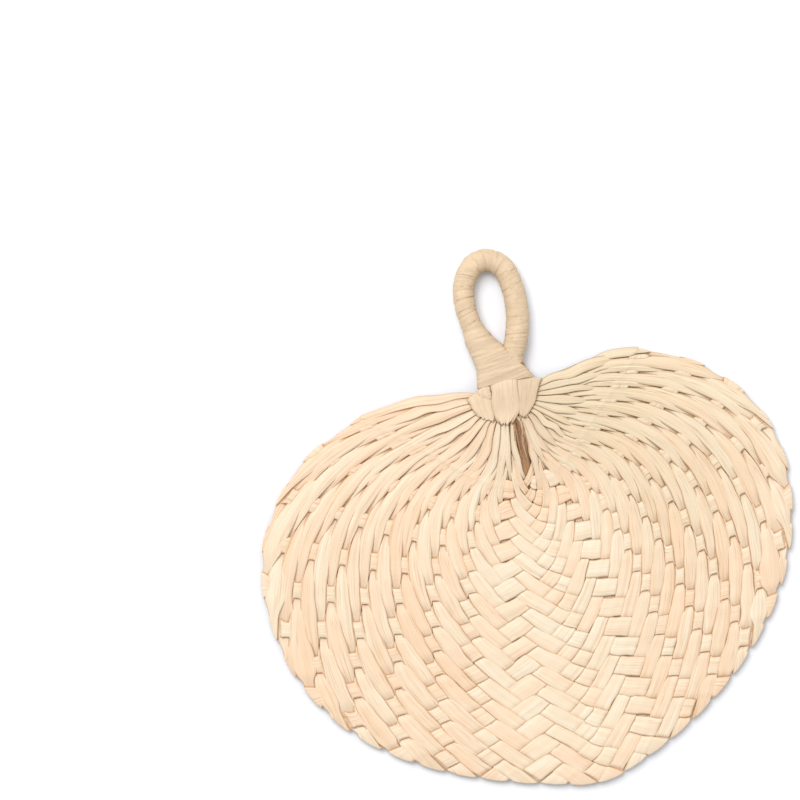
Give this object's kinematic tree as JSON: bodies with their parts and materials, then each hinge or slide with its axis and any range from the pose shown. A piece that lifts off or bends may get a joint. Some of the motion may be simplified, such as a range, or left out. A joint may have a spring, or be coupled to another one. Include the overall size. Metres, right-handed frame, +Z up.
{
  "type": "raffia hand fan",
  "caption": "Bias-plaited raffia hand fan: broad heart-shaped blade with a folded edge, bound neck and a wrapped hanging loop.",
  "frame": {"origin": "on the surface that the fan lies on, under the middle of its bounding box", "axes": "+Z up out of the fan's front face, +Y from the blade's tip toward the hanging loop, +X to the right of the front face"},
  "size_m": [0.3246, 0.3276, 0.015],
  "materials": {
    "leaf": "dried raffia leaf, matte with a faint sheen along the fibres",
    "leaf_bundle": "bundled dried leaf ribs, matte, hidden under the wrapping",
    "tape": "dampened and dried leaf tape, matte, finely wrinkled"
  },
  "bodies": {
    "root": {"leaf_strip_01": "leaf", "leaf_strip_02": "leaf", "leaf_strip_03": "leaf", "leaf_strip_04": "leaf", "leaf_strip_05": "leaf", "leaf_strip_06": "leaf", "leaf_strip_07": "leaf", "leaf_strip_08": "leaf", "leaf_strip_09": "leaf", "leaf_strip_10": "leaf", "leaf_strip_11": "leaf", "leaf_strip_12": "leaf", "leaf_strip_13": "leaf", "leaf_strip_14": "leaf", "leaf_strip_15": "leaf", "leaf_strip_16": "leaf", "leaf_strip_17": "leaf", "leaf_strip_18": "leaf", "leaf_strip_19": "leaf", "leaf_strip_20": "leaf", "leaf_strip_21": "leaf", "leaf_strip_22": "leaf", "leaf_strip_23": "leaf", "leaf_strip_24": "leaf", "leaf_strip_25": "leaf", "leaf_strip_26": "leaf", "leaf_strip_27": "leaf", "leaf_strip_28": "leaf", "leaf_strip_29": "leaf", "leaf_strip_30": "leaf", "leaf_strip_31": "leaf", "leaf_strip_32": "leaf", "leaf_strip_33": "leaf", "leaf_strip_34": "leaf", "loop_core": "leaf_bundle", "neck_core": "leaf_bundle", "loop_wrap": "tape", "neck_binding": "tape", "collar_left": "tape", "collar_centre": "tape", "collar_right": "tape", "collar_back": "tape"}
  },
  "joints": []
}
